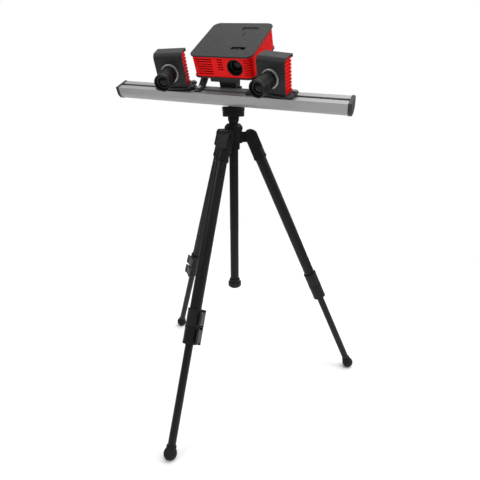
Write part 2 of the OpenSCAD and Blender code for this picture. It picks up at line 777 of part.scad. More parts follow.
module camera(side) {
  inside = housing_back - 2.6;
  color(alloy) {
    on_unit(side) {
      block([lens_x - 20, housing_front, lens_z - 20], [lens_x + 20, inside - 6, lens_z + 20]);
      for (x = [-1, 1]) translate([x * bolt_x, bolt_y, foot_high - 0.8]) difference() {
        cylinder(r = 4.7, h = 4.6, $fn = 48);
        translate([0, 0, 2.4]) cylinder(r = 2.5, h = 4, $fn = 6);
      }
    }
    on_lens(side) {
      translate([0, 0, -sheet - 0.2]) cylinder(r = 17, h = sheet + 2);
      tube(21.4, 12.6, 0.3, 3.8);
      translate([0, 0, 3.8]) difference() {
        cylinder(r1 = 21.4, r2 = 20.4, h = 1.2);
        translate([0, 0, -1]) cylinder(r = 12.6, h = 5);
      }
    }
  }
}

lens_start = 5;            // lens stations, measured forward from the front plate
iris_low = 13;
iris_high = 25;
focus_low = 29;
focus_high = 43.5;

module lens_barrel(side) {
  color(black) on_lens(side) difference() {
    union() {
      translate([0, 0, lens_start]) cylinder(r = 18.4, h = iris_low - lens_start);
      translate([0, 0, iris_low - 1]) cylinder(r = 14.6, h = 34);
      translate([0, 0, iris_high]) cylinder(r = 18.2, h = focus_low - iris_high);
      translate([0, 0, focus_high]) cylinder(r1 = 18.4, r2 = hood_r, h = 3);
      translate([0, 0, focus_high + 3]) cylinder(r = hood_r, h = lens_len - focus_high - 4);
      translate([0, 0, lens_len - 1]) cylinder(r1 = hood_r, r2 = hood_r - 0.6, h = 1);
    }
    translate([0, 0, lens_start - 1]) cylinder(r = 11, h = 60);
    translate([0, 0, lens_len - 13]) cylinder(r1 = 12.4, r2 = 16.6, h = 13.2);
    for (z = [focus_high + 5.5, lens_len - 3.4]) translate([0, 0, z]) tube(30, hood_r - 0.5, -0.3, 0.3);
  }
}

module iris_ring(side) {
  color(black) on_lens(side) knurled_ring(18.6, 14.6 + gap, iris_low + gap, iris_high - gap, 28);
}

module focus_ring(side) {
  color(black) on_lens(side) knurled_ring(18.8, 14.6 + gap, focus_low + gap, focus_high - gap, 32);
}

// ---------- nodes ----------

spider();
leg_pins();
column();
column_end_cap();
column_lock_collar();
for (i = [0:2]) {
  shoulder(LEG_AZIMUTH[i]);
  upper_tube(LEG_AZIMUTH[i]);
  upper_clamp(LEG_AZIMUTH[i]);
  lock_lever(LEG_AZIMUTH[i], lock_start);
  middle_section(LEG_AZIMUTH[i]);
  lock_lever(LEG_AZIMUTH[i], second_lock);
  lower_tube(LEG_AZIMUTH[i]);
  foot(LEG_AZIMUTH[i]);
}
ball_housing();
ball_lock_knob();
ball_platform();
projector_bracket();
rail();
rail_end_caps();
rail_screws();
projector_base();
projector_shell();
projector_cover();
projector_lens();
projector_focus_ring();
projector_light_engine();
projector_fan();
projector_board();
power_button();
for (side = SIDES) {
  carriage(side);
  unit_bracket(side);
  unit_housing(side);
  camera(side);
  lens_barrel(side);
  iris_ring(side);
  focus_ring(side);
}
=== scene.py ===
"""The looks of a structured light scanner on a tripod: materials, edges, optics and small fittings.

Lengths inside the local frames are in millimetres and become metres where a mesh is made.
"""

import json
import math

import bmesh
import bpy
from mathutils import Matrix, Vector


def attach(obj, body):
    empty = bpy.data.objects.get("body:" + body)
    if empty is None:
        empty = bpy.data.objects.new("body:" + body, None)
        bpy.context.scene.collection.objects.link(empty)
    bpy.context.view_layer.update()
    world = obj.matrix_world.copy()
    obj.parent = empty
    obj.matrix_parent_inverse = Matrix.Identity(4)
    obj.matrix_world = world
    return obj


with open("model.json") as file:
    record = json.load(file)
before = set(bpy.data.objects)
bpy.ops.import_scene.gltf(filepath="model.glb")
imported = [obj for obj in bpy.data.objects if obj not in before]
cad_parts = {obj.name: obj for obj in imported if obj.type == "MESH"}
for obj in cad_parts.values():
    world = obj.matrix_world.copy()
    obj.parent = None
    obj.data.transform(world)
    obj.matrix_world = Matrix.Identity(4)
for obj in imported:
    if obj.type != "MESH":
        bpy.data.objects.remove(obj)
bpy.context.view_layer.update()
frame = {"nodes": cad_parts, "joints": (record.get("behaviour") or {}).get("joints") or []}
scene = bpy.context.scene
scene.view_settings.view_transform = "Standard"
scene.view_settings.look = "None"

MM = 0.001
LEGS = ("front", "right", "left")
SIDES = ("left", "right")
NODES = frame["nodes"]

# ---------------------------------------------------------------- camera

CAMERA_PLACE = (0.4549, -0.9488, 0.7700)
CAMERA_AZIMUTH = 24.79
CAMERA_ELEVATION = 18.20
CAMERA_ROLL = -0.18
CAMERA_LENS = 30.55


def make_camera():
    camera = bpy.data.objects.new("camera", bpy.data.cameras.new("camera"))
    scene.collection.objects.link(camera)
    turn = Matrix.Rotation(math.radians(CAMERA_AZIMUTH), 4, "Z")
    tip = Matrix.Rotation(math.radians(90 - CAMERA_ELEVATION), 4, "X")
    roll = Matrix.Rotation(math.radians(CAMERA_ROLL), 4, "Z")
    camera.matrix_world = Matrix.Translation(CAMERA_PLACE) @ turn @ tip @ roll
    camera.data.lens = CAMERA_LENS
    camera.data.sensor_width = 36
    camera.data.clip_start = 0.01
    camera.data.clip_end = 50
    scene.camera = camera


make_camera()

# ---------------------------------------------------------------- local frames, from the joints

JOINTS = {j["name"]: j for j in frame["joints"]}


def joint_axis(name):
    return Vector(JOINTS[name]["axis"]).normalized()


def joint_place(name):
    return Vector(JOINTS[name]["pos_m"])


def placed(origin, x, y, z):
    """A frame with its origin in metres and its three unit axes."""
    m = Matrix((x, y, z)).transposed().to_4x4()
    m.translation = origin
    return m


# Places that the CAD source gives, in millimetres
UNITS_ASIDE = 2.8                # how far both units stand left of the rail's middle
UNIT_TURN_HEIGHT = 5             # swivel joint above the rail's top
CAMERA_FOCUS_STATION = 36        # focus joint ahead of a unit's front plate
PROJECTOR_LENS_ASIDE = 33        # projector lens right of the cover's middle
PROJECTOR_LENS_DROP = 26.5       # projector lens below the cover's top
PROJECTOR_FOCUS_STATION = 39     # projector focus joint ahead of the cover's middle
UPPER_LEVER_LOW = -453           # lowest finger ridge of each lever, along the leg
LOWER_LEVER_LOW = -494


def head_frame():
    """Origin in the middle of the rail's top, +X along the rail, +Z out of its top."""
    x = joint_axis("right_unit_slide")
    z = joint_axis("right_unit_turn")
    middle = (joint_place("left_unit_turn") + joint_place("right_unit_turn")) / 2
    return placed(middle - UNIT_TURN_HEIGHT * MM * z + UNITS_ASIDE * MM * x, x, z.cross(x), z)


def projector_frame():
    """Origin in the middle of the cover's top, +Y back, +Z out of the cover."""
    y = joint_axis("fan_spin")
    z = joint_axis("power_button_press")
    x = y.cross(z)
    lens = joint_place("projector_focus_turn")
    middle = lens - PROJECTOR_LENS_ASIDE * MM * x + PROJECTOR_FOCUS_STATION * MM * y
    return placed(middle + PROJECTOR_LENS_DROP * MM * z, x, y, z)


def unit_frame(side):
    """Origin on the rail's top under the unit, -Y where its camera looks."""
    y = -joint_axis(side + "_focus_turn")
    z = joint_axis(side + "_unit_turn")
    return placed(joint_place(side + "_unit_turn") - UNIT_TURN_HEIGHT * MM * z, y.cross(z), y, z)


def lens_frame(side):
    """Origin on the lens axis at the front plate's face, +Z forward along the lens."""
    z = joint_axis(side + "_focus_turn")
    y = joint_axis(side + "_unit_turn")
    return placed(joint_place(side + "_focus_turn") - CAMERA_FOCUS_STATION * MM * z, y.cross(z), y, z)


def projector_lens_frame():
    """Origin on the projector's lens axis under the middle of its cover, +Z forward."""
    z = joint_axis("projector_focus_turn")
    y = joint_axis("power_button_press")
    middle = joint_place("projector_focus_turn") - PROJECTOR_FOCUS_STATION * MM * z
    return placed(middle, y.cross(z), y, z)


def leg_frame(leg):
    """Origin on the leg's hinge, -Z down the leg, +X away from the column."""
    y = -joint_axis(leg + "_leg_fold")
    z = -joint_axis(leg + "_middle_slide")
    return placed(joint_place(leg + "_leg_fold"), y.cross(z), y, z)


WORLD = Matrix.Identity(4)
HEAD = head_frame()
PROJECTOR = projector_frame()
PROJECTOR_LENS = projector_lens_frame()
UNIT = {side: unit_frame(side) for side in SIDES}
LENS = {side: lens_frame(side) for side in SIDES}
LEG = {leg: leg_frame(leg) for leg in LEGS}

# ---------------------------------------------------------------- materials


class Shader:
    """A material under construction. Texture coordinates are millimetres in a local frame."""

    def __init__(self, name, local=WORLD):
        self.material = bpy.data.materials.new(name)
        self.material.use_nodes = True
        self.tree = self.material.node_tree
        self.bsdf = self.tree.nodes["Principled BSDF"]
        coords = self.node("ShaderNodeTexCoord")
        inside = local.inverted()
        self.place = self.node("ShaderNodeMapping", {"Vector": coords.outputs["Object"]})
        self.place.inputs["Scale"].default_value = (1000, 1000, 1000)
        self.place.inputs["Rotation"].default_value = inside.to_euler()
        self.place.inputs["Location"].default_value = inside.translation * 1000
        self.height = None

    def node(self, kind, links=(), **settings):
        made = self.tree.nodes.new(kind)
        for key, value in settings.items():
            setattr(made, key, value)
        for socket, source in dict(links).items():
            if isinstance(source, bpy.types.NodeSocket):
                self.tree.links.new(source, made.inputs[socket])
            else:
                made.inputs[socket].default_value = source
        return made

    def noise(self, scale, stretch=(1, 1, 1), detail=3.0, rough=0.5):
        """Noise with scale cells to a millimetre, stretched along the local axes."""
        spread = self.node("ShaderNodeMapping", {"Vector": self.place.outputs[0], "Scale": stretch})
        made = self.node("ShaderNodeTexNoise", {"Vector": spread.outputs[0], "Scale": scale,
                                                "Detail": detail, "Roughness": rough})
        return made.outputs["Fac"]

    def cells(self, scale):
        made = self.node("ShaderNodeTexVoronoi", {"Vector": self.place.outputs[0], "Scale": scale})
        return made.outputs["Distance"]

    def part(self, axis):
        """One local coordinate, in millimetres."""
        split = self.node("ShaderNodeSeparateXYZ", {0: self.place.outputs[0]})
        return split.outputs[axis]

    def math(self, operation, a, b=0.0, clamp=False):
        return self.node("ShaderNodeMath", {0: a, 1: b}, operation=operation, use_clamp=clamp).outputs[0]

    def spread(self, source, low, high, to_low=0.0, to_high=1.0):
        made = self.node("ShaderNodeMapRange", {"Value": source, "From Min": low, "From Max": high,
                                                "To Min": to_low, "To Max": to_high})
        return made.outputs[0]

    def mix(self, factor, a, b):
        """A colour between a and b."""
        made = self.node("ShaderNodeMix", data_type="RGBA")
        for index, value in ((0, factor), (6, a), (7, b)):
            if isinstance(value, bpy.types.NodeSocket):
                self.tree.links.new(value, made.inputs[index])
            else:
                made.inputs[index].default_value = value
        return made.outputs[2]

    def edges(self, radius, low=0.03, high=0.25):
        """A mask that is 1 on sharp edges, radius in millimetres."""
        soft = self.node("ShaderNodeBevel", {"Radius": radius * MM}, samples=4)
        true = self.node("ShaderNodeNewGeometry")
        dot = self.node("ShaderNodeVectorMath", {0: soft.outputs[0], 1: true.outputs["Normal"]},
                        operation="DOT_PRODUCT")
        return self.spread(self.math("SUBTRACT", 1.0, dot.outputs["Value"]), low, high)

    def hollow_shade(self, reach, deepest=0.3):
        """A painted-shade factor from ambient occlusion that falls from 1 to deepest inside grooves and
        under ledges, reach in millimetres.
        """
        shade = self.node("ShaderNodeAmbientOcclusion", {"Distance": reach * MM}, samples=6, only_local=True)
        return self.spread(shade.outputs["AO"], 0.25, 0.8, deepest, 1.0)

    def bump(self, source, depth, strength=1.0):
        """Adds relief, depth in millimetres."""
        links = {"Height": source, "Distance": depth * MM, "Strength": strength}
        if self.height:
            links["Normal"] = self.height
        self.height = self.node("ShaderNodeBump", links).outputs[0]
        self.tree.links.new(self.height, self.bsdf.inputs["Normal"])

    def set(self, **values):
        for key, value in values.items():
            socket = self.bsdf.inputs[key.replace("_", " ")]
            if isinstance(value, bpy.types.NodeSocket):
                self.tree.links.new(value, socket)
            else:
                socket.default_value = value


def rgb(r, g, b):
    return (r, g, b, 1.0)


def scaled(color, k):
    return rgb(*(min(1.0, c * k) for c in color[:3]))


def coat(name, color, rough, grain, relief, local=WORLD, worn=0.25, edge=0.35, vary=0.12, shine=0.3,
         groove_shade_reach=0.0):
    """A painted or moulded surface: slow variation, fine grain, slightly rubbed edges and, when a reach is
    given, painted shade in its grooves.
    """
    s = Shader(name, local)
    slow = s.noise(0.045, detail=4)
    fine = s.noise(grain, detail=2, rough=0.6)
    body = s.mix(slow, scaled(color, 1 - vary), scaled(color, 1 + vary))
    speck = s.mix(s.spread(fine, 0.35, 0.7), scaled(color, 0.86), scaled(color, 1.14))
    body = s.mix(0.5, body, speck)
    rub = s.math("MULTIPLY", s.edges(edge), s.spread(s.noise(0.35, detail=5), 0.35, 0.65))
    body = s.mix(s.math("MULTIPLY", rub, worn), body, scaled(color, 2.6))
    # Painted shade: the colour darkens towards 0.3 of itself in grooves and hollows found by ambient
    # occlusion.
    if groove_shade_reach:
        body = s.mix(s.hollow_shade(groove_shade_reach), scaled(color, 0.3), body)
    s.set(Base_Color=body, Roughness=s.spread(s.noise(0.11, detail=5), 0.3, 0.7, rough - 0.05, rough + 0.06))
    s.set(Specular_IOR_Level=shine)
    s.bump(fine, relief)
    return s


def black_casting(local=WORLD):
    s = coat("black_casting", rgb(0.008, 0.008, 0.0083), 0.45, 1.3, 0.05, local, shine=0.15)
    s.bump(s.noise(0.16, detail=2), 0.10, 0.5)
    return s.material


def black_moulding(local=WORLD):
    s = coat("black_moulding", rgb(0.010, 0.010, 0.0105), 0.5, 2.2, 0.03, local, shine=0.22)
    return s.material


def black_tube(name, local):
    """Anodised tube, drawn along its own Z."""
    s = Shader("black_tube_" + name, local)
    color = rgb(0.008, 0.008, 0.0083)
    lines = s.noise(2.2, stretch=(1, 1, 0.012), detail=3, rough=0.7)
    slow = s.noise(0.03, detail=4)
    body = s.mix(lines, scaled(color, 0.85), scaled(color, 1.3))
    body = s.mix(s.math("MULTIPLY", slow, 0.35), body, scaled(color, 1.5))
    s.set(Base_Color=body, Metallic=0.1, Roughness=s.spread(slow, 0.3, 0.7, 0.34, 0.46))
    s.set(Specular_IOR_Level=0.2)
    s.bump(lines, 0.015)
    return s.material


def lever_plastic(local=WORLD):
    return coat("lever_plastic", rgb(0.022, 0.022, 0.023), 0.38, 2.6, 0.015, local, shine=0.35).material


def foot_rubber():
    s = coat("foot_rubber", rgb(0.010, 0.010, 0.010), 0.72, 1.8, 0.05, worn=0.1, shine=0.2)
    height = s.part(2)
    dust = s.math("MULTIPLY", s.spread(height, 9.0, 0.0), s.spread(s.noise(0.4, detail=5), 0.4, 0.7))
    color = s.bsdf.inputs["Base Color"].links[0].from_socket
    s.set(Base_Color=s.mix(s.math("MULTIPLY", dust, 0.5), color, rgb(0.16, 0.15, 0.14)))
    return s.material


def satin_aluminium(name, local, tone=0.33):
    """Anodised extrusion with die lines along its own X, with painted shade inside its slots."""
    s = Shader("satin_aluminium_" + name, local)
    lines = s.noise(2.6, stretch=(0.006, 1, 1), detail=4, rough=0.7)
    slow = s.noise(0.02, stretch=(0.4, 1, 1), detail=4)
    dark, pale = rgb(tone * 0.93, tone * 0.93, tone * 0.94), rgb(tone * 1.06, tone * 1.06, tone * 1.07)
    body = s.mix(lines, dark, pale)
    body = s.mix(s.math("MULTIPLY", slow, 0.25), body, rgb(tone * 0.86, tone * 0.86, tone * 0.875))
    # Painted shade: near-black colour inside the slots and under ledges, found by ambient occlusion.
    body = s.mix(s.hollow_shade(4.0, 0.0), rgb(tone * 0.12, tone * 0.12, tone * 0.12), body)
    s.set(Base_Color=body, Metallic=0.45, Roughness=s.spread(slow, 0.3, 0.7, 0.36, 0.45))
    s.bump(lines, 0.012)
    return s.material


def cap_plastic(local=WORLD):
    return coat("cap_plastic", rgb(0.030, 0.030, 0.031), 0.5, 1.7, 0.03, local).material


def bracket_coat(local=WORLD):
    return coat("bracket_coat", rgb(0.016, 0.016, 0.017), 0.45, 1.5, 0.05, local).material


def graphite_coat(name, local, tone):
    """Fine-textured powder coat on sheet metal."""
    color = rgb(tone, tone, tone * 1.02)
    s = coat("graphite_coat_" + name, color, 0.5, 1.5, 0.05, local, worn=0.3, shine=0.22)
    s.bump(s.cells(1.1), 0.05, 0.6)
    return s.material


def red_plastic(name, local):
    """Moulded shell, with painted shade in the grooves between its ribs."""
    # The last argument lays painted shade 5 mm deep into the grooves.
    s = coat("red_plastic_" + name, rgb(0.93, 0.006, 0.006), 0.38, 3.0, 0.02, local, worn=0.04, vary=0.05,
             shine=0.1, groove_shade_reach=5.0)
    return s.material


def turned(name, local, color, metallic, rough, pitch=3.2, depth=0.02, shine=0.5):
    """A turned surface, with fine grooves round the local Z axis."""
    s = Shader(name, local)
    grooves = s.noise(pitch, stretch=(0.02, 0.02, 1), detail=3, rough=0.7)
    slow = s.noise(0.09, detail=4)
    body = s.mix(grooves, scaled(color, 0.82), scaled(color, 1.2))
    rub = s.math("MULTIPLY", s.edges(0.25), s.spread(s.noise(0.5, detail=4), 0.35, 0.65))
    body = s.mix(s.math("MULTIPLY", rub, 0.35), body, scaled(color, 2.5))
    s.set(Base_Color=body, Metallic=metallic, Roughness=s.spread(slow, 0.3, 0.7, rough - 0.05, rough + 0.07))
    s.set(Specular_IOR_Level=shine)
    s.bump(grooves, depth)
    return s.material


def satin_ring(name, local):
    """A fine-turned aluminium flange: smooth, with a faint ring pattern round the local Z axis."""
    s = Shader(name, local)
    rings = s.noise(1.6, stretch=(0.02, 0.02, 1), detail=2)
    slow = s.noise(0.07, detail=3)
    body = s.mix(rings, rgb(0.36, 0.36, 0.365), rgb(0.43, 0.43, 0.435))
    s.set(Base_Color=body, Metallic=0.7, Roughness=s.spread(slow, 0.3, 0.7, 0.42, 0.5))
    s.bump(slow, 0.01)
    return s.material


def plain_steel():
    s = Shader("bright_steel")
    fine = s.noise(2.5, detail=4)
    s.set(Base_Color=s.mix(fine, rgb(0.50, 0.50, 0.51), rgb(0.66, 0.66, 0.67)), Metallic=1.0,
          Roughness=s.spread(fine, 0.3, 0.7, 0.24, 0.36))
    s.bump(fine, 0.01)
    return s.material


def circuit_board():
    s = Shader("circuit_board", PROJECTOR)
    traces = s.node("ShaderNodeTexBrick", {"Vector": s.place.outputs[0], "Scale": 0.22,
                                           "Mortar Size": 0.03, "Color1": rgb(0.010, 0.07, 0.03),
                                           "Color2": rgb(0.012, 0.09, 0.035),
                                           "Mortar": rgb(0.02, 0.16, 0.06)})
    s.set(Base_Color=traces.outputs["Color"], Roughness=s.spread(s.noise(0.2), 0.3, 0.7, 0.25, 0.4))
    return s.material


def dark_glass(name, local, tint):
    """The front of a coated lens: glossy, with a faint painted coloured reflection that grows towards the
    middle.
    """
    s = Shader(name, local)
    across = s.math("POWER", s.part(0), 2.0)
    up = s.math("POWER", s.part(1), 2.0)
    radius = s.math("SQRT", s.math("ADD", across, up))
    # Painted reflection: a coloured glow laid into the base colour, strongest within 2 mm of the axis and
    # gone by 13 mm.
    painted_reflection = s.math("MULTIPLY", s.spread(radius, 13.0, 2.0), s.spread(s.noise(0.05), 0.2, 0.8, 0.6, 1.0))
    s.set(Base_Color=s.mix(painted_reflection, rgb(0.004, 0.004, 0.005), rgb(*tint)), Roughness=0.05, IOR=1.5)
    s.set(Specular_IOR_Level=0.16)
    return s.material


def paint_mark(name, color):
    s = Shader(name)
    s.set(Base_Color=s.mix(s.noise(1.2), scaled(color, 0.88), color), Roughness=0.6)
    return s.material


# ---------------------------------------------------------------- finishing the CAD nodes


def clean_normals():
    """Joins the vertices that the import split, and drops the stored normals."""
    group = bpy.data.node_groups.new("clean_normals", "GeometryNodeTree")
    group.interface.new_socket("Geometry", in_out="INPUT", socket_type="NodeSocketGeometry")
    group.interface.new_socket("Geometry", in_out="OUTPUT", socket_type="NodeSocketGeometry")
    start = group.nodes.new("NodeGroupInput")
    merge = group.nodes.new("GeometryNodeMergeByDistance")
    merge.inputs["Distance"].default_value = 0.002 * MM
    drop = group.nodes.new("GeometryNodeRemoveAttribute")
    drop.inputs["Name"].default_value = "custom_normal"
    smooth = group.nodes.new("GeometryNodeSetShadeSmooth")
    end = group.nodes.new("NodeGroupOutput")
    for one, two in ((start, merge), (merge, drop), (drop, smooth), (smooth, end)):
        group.links.new(one.outputs[0], two.inputs[0])
    return group


CLEAN = clean_normals()


def refine(name, width, segments=2, angle=34):
    """Rounds a CAD node's sharp edges by width millimetres; its own mesh stays as it is."""
    obj = NODES[name]
    obj.modifiers.new("clean", "NODES").node_group = CLEAN
    flat = obj.modifiers.new("flat", "DECIMATE")
    flat.decimate_type = "DISSOLVE"
    flat.angle_limit = math.radians(0.6)
    bevel = obj.modifiers.new("bevel", "BEVEL")
    bevel.width = width * MM
    bevel.segments = segments
    bevel.limit_method = "ANGLE"
    bevel.angle_limit = math.radians(angle)
    bevel.use_clamp_overlap = True
    weighted = obj.modifiers.new("weighted", "WEIGHTED_NORMAL")
    weighted.mode = "FACE_AREA"
    weighted.weight = 80
    weighted.keep_sharp = True
    return obj


def dress(names, material, width=0.4, segments=2):
    """Gives CAD nodes their material and rounded edges."""
    for name in names:
        obj = refine(name, width, segments)
        obj.data.materials.clear()
        obj.data.materials.append(material)


def of_legs(*kinds):
    return [leg + "_" + kind for leg in LEGS for kind in kinds]


def of_sides(*kinds):
    return [side + "_" + kind for side in SIDES for kind in kinds]


casting = black_casting()
moulding = black_moulding()
steel = plain_steel()
castings = ["spider", "column_lock_collar", "ball_housing", "ball_platform"] + of_legs("shoulder")
dress(castings, casting, 0.7, 3)
dress(["ball_lock_knob", "column_end_cap"] + of_legs("upper_clamp"), moulding, 0.5)
dress(["column"], black_tube("column", WORLD), 0.5)
for leg in LEGS:
    tube = black_tube(leg, LEG[leg])
    dress([leg + "_upper_tube", leg + "_lower_tube", leg + "_middle_section"], tube, 0.3)
dress(of_legs("upper_lever", "lower_lever"), lever_plastic(), 0.5, 3)
dress(of_legs("foot"), foot_rubber(), 0.4)
dress(["leg_pins"], casting, 0.3)
dress(["rail_screws"], steel, 0.3)
dress(["rail"], satin_aluminium("rail", HEAD), 0.35, 2)
dress(["rail_end_caps"], cap_plastic(HEAD), 0.5)
dress(["projector_bracket", "projector_base"] + of_sides("carriage"), bracket_coat(PROJECTOR), 0.4)
dress(["projector_cover"], graphite_coat("cover", PROJECTOR, 0.0165), 0.4, 3)
dress(["projector_shell"], red_plastic("projector", PROJECTOR), 0.3)
dress(["projector_light_engine"], turned("machined_block", PROJECTOR, rgb(0.5, 0.5, 0.5), 1.0, 0.35), 0.3)
dress(["projector_fan"], black_moulding(PROJECTOR), 0.2)
dress(["projector_board"], circuit_board(), 0.1)
dress(["power_button"], black_moulding(PROJECTOR), 0.4)
lens_black = turned("lens_black_projector", PROJECTOR_LENS, rgb(0.007, 0.007, 0.0075), 0.0, 0.33, shine=0.2)
dress(["projector_lens", "projector_focus_ring"], lens_black, 0.3)
for side in SIDES:
    dress([side + "_unit_bracket"], graphite_coat(side, UNIT[side], 0.025), 0.4, 3)
    dress([side + "_unit_housing"], red_plastic(side, UNIT[side]), 0.35)
    dress([side + "_camera"], satin_ring("silver_ring_" + side, LENS[side]), 0.3)
    barrel = turned("lens_black_" + side, LENS[side], rgb(0.006, 0.006, 0.0065), 0.0, 0.33, shine=0.2)
    dress([side + "_lens_barrel"], barrel, 0.3)
    grip = turned("lens_grip_" + side, LENS[side], rgb(0.007, 0.007, 0.0075), 0.0, 0.45, shine=0.2)
    dress([side + "_iris_ring", side + "_focus_ring"], grip, 0.2)

# ---------------------------------------------------------------- making pieces


def add_piece(name, mesh, body, material, smooth_angle=34):
    obj = bpy.data.objects.new(name, mesh)
    scene.collection.objects.link(obj)
    mesh.materials.append(material)
    mesh.shade_smooth()
    mesh.set_sharp_from_angle(angle=math.radians(smooth_angle))
    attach(obj, body)
    return obj


def lathe(name, profile, local, body, material, segments=96):
    """A piece turned round the local Z axis. The profile is (radius, height) pairs in millimetres;
    a radius of 0 closes an end, and a profile that starts off the axis is a closed ring."""
    bm = bmesh.new()
    rings = []
    for radius, height in profile:
        if radius == 0:
            rings.append([bm.verts.new((0, 0, height))])
            continue
        turns = [2 * math.pi * i / segments for i in range(segments)]
        rings.append([bm.verts.new((radius * math.cos(t), radius * math.sin(t), height)) for t in turns])
    pairs = list(zip(rings, rings[1:]))
    if len(rings[0]) > 1 and len(rings[-1]) > 1:
        pairs.append((rings[-1], rings[0]))
    for low, high in pairs:
        for i in range(segments):
            j = (i + 1) % segments
            corners = [low[i % len(low)], low[j % len(low)], high[j % len(high)], high[i % len(high)]]
            bm.faces.new(list(dict.fromkeys(corners)))
    bmesh.ops.recalc_face_normals(bm, faces=bm.faces)
    return finish_mesh(name, bm, local, body, material)


def finish_mesh(name, bm, local, body, material):
    """Moves a mesh in local millimetres to its place in metres."""
    bmesh.ops.transform(bm, matrix=local @ Matrix.Diagonal((MM, MM, MM, 1)), verts=bm.verts)
    mesh = bpy.data.meshes.new(name)
    bm.to_mesh(mesh)
    bm.free()
    return add_piece(name, mesh, body, material)


def dome(radius, rise, height, steps=8):
    """Profile of a lens surface that bulges forward by rise, from its rim to its middle."""
    curve = (radius * radius + rise * rise) / (2 * rise)
    top = math.asin(radius / curve)
    angles = [top * (1 - i / steps) for i in range(steps)]
    rim = [(curve * math.sin(a), height + rise - curve * (1 - math.cos(a))) for a in angles]
    return rim + [(0, height + rise)]


# ---------------------------------------------------------------- optics

GLASS_STATION = 50.0


def camera_optics(side):
    local = LENS[side]
    body = side + "_unit"
    glass = dark_glass("camera_glass_" + side, local, (0.010, 0.008, 0.018))
    inner = dark_glass("inner_glass_" + side, local, (0.006, 0.012, 0.010))
    black = turned("baffle_" + side, local, rgb(0.006, 0.006, 0.006), 0.0, 0.55, pitch=1.4, depth=0.25)
    lathe(side + "_front_glass", [(0, GLASS_STATION - 3), (12.6, GLASS_STATION - 3)]
          + dome(12.6, 2.6, GLASS_STATION - 0.6), local, body, glass)
    profile = [(12.4, -1.8), (14.2, 0.6), (14.6, 1.0), (14.2, 1.4), (12.6, 0.7), (11.9, 0.6)]
    ring = [(radius, GLASS_STATION + height) for radius, height in profile]
    lathe(side + "_retaining_ring", ring, local, body, black)
    lathe(side + "_inner_glass", [(0, 8.0), (10.8, 8.0)] + dome(10.8, 2.0, 9.0), local, body, inner)


def projector_optics():
    local = PROJECTOR_LENS
    glass = dark_glass("projector_glass", local, (0.010, 0.011, 0.020))
    inner = dark_glass("projector_inner_glass", local, (0.014, 0.011, 0.008))
    black = turned("projector_baffle", local, rgb(0.007, 0.007, 0.007), 0.0, 0.5, pitch=1.2, depth=0.25)
    lathe("projector_front_glass", [(0, 60.5), (12.8, 60.5)] + dome(12.8, 3.6, 62.0), local, "head", glass)
    ring = [(13.1, 62.0), (14.2, 66.4), (13.8, 67.2), (12.9, 66.8), (12.3, 64.6), (12.6, 62.0)]
    lathe("projector_retaining_ring", ring, local, "head", black)
    lathe("projector_inner_glass", [(0, 30.0), (10.3, 30.0)] + dome(10.3, 2.0, 31.0), local, "head", inner)


for side in SIDES:
    camera_optics(side)
projector_optics()

# ---------------------------------------------------------------- small fittings


def boxes(name, corners, local, body, material, round_by=0.25):
    """One piece made of blocks with rounded edges; corners holds (low, high) pairs in millimetres."""
    bm = bmesh.new()
    for low, high in corners:
        size = [b - a for a, b in zip(low, high)]
        middle = [(a + b) / 2 for a, b in zip(low, high)]
        put = Matrix.Translation(middle) @ Matrix.Diagonal((*size, 1))
        bmesh.ops.create_cube(bm, size=1.0, matrix=put)
    bmesh.ops.bevel(bm, geom=list(bm.edges), offset=round_by, segments=2, profile=0.5, affect="EDGES",
                    clamp_overlap=True)
    return finish_mesh(name, bm, local, body, material)


def ticks(name, radius, low, high, count, arc, width, local, body, material):
    """Engraved and filled index marks along a ring, spread over an arc in degrees round its top."""
    bm = bmesh.new()
    for i in range(count):
        turn = Matrix.Rotation(math.radians(90 + arc * (i / (count - 1) - 0.5)), 4, "Z")
        reach = high if i % 5 == 0 else low + (high - low) * 0.6
        middle = Matrix.Translation((radius, 0, (low + reach) / 2))
        size = Matrix.Diagonal((0.12, width, reach - low, 1))
        bmesh.ops.create_cube(bm, size=1.0, matrix=turn @ middle @ size)
    bmesh.ops.bevel(bm, geom=list(bm.edges), offset=0.03, segments=1, profile=0.5, affect="EDGES")
    return finish_mesh(name, bm, local, body, material)


def facing_back(local, x, y, z):
    """A frame at a point of another, with +Z towards its back."""
    return local @ Matrix.Translation((x * MM, y * MM, z * MM)) @ Matrix.Rotation(-math.pi / 2, 4, "X")


mark = paint_mark("mark_white", rgb(0.42, 0.42, 0.41))
contact = turned("contact_gold", WORLD, rgb(0.72, 0.48, 0.16), 1.0, 0.3)
port_black = black_moulding(PROJECTOR)


def lens_marks(side):
    local = LENS[side]
    ticks(side + "_focus_marks", 18.83, 42.1, 43.0, 21, 150, 0.22, local, side + "_focus", mark)
    ticks(side + "_iris_marks", 18.63, 23.6, 24.5, 16, 110, 0.22, local, side + "_iris", mark)
    ticks(side + "_index_line", 18.23, 25.3, 28.7, 2, 0.6, 0.25, local, side + "_unit", mark)


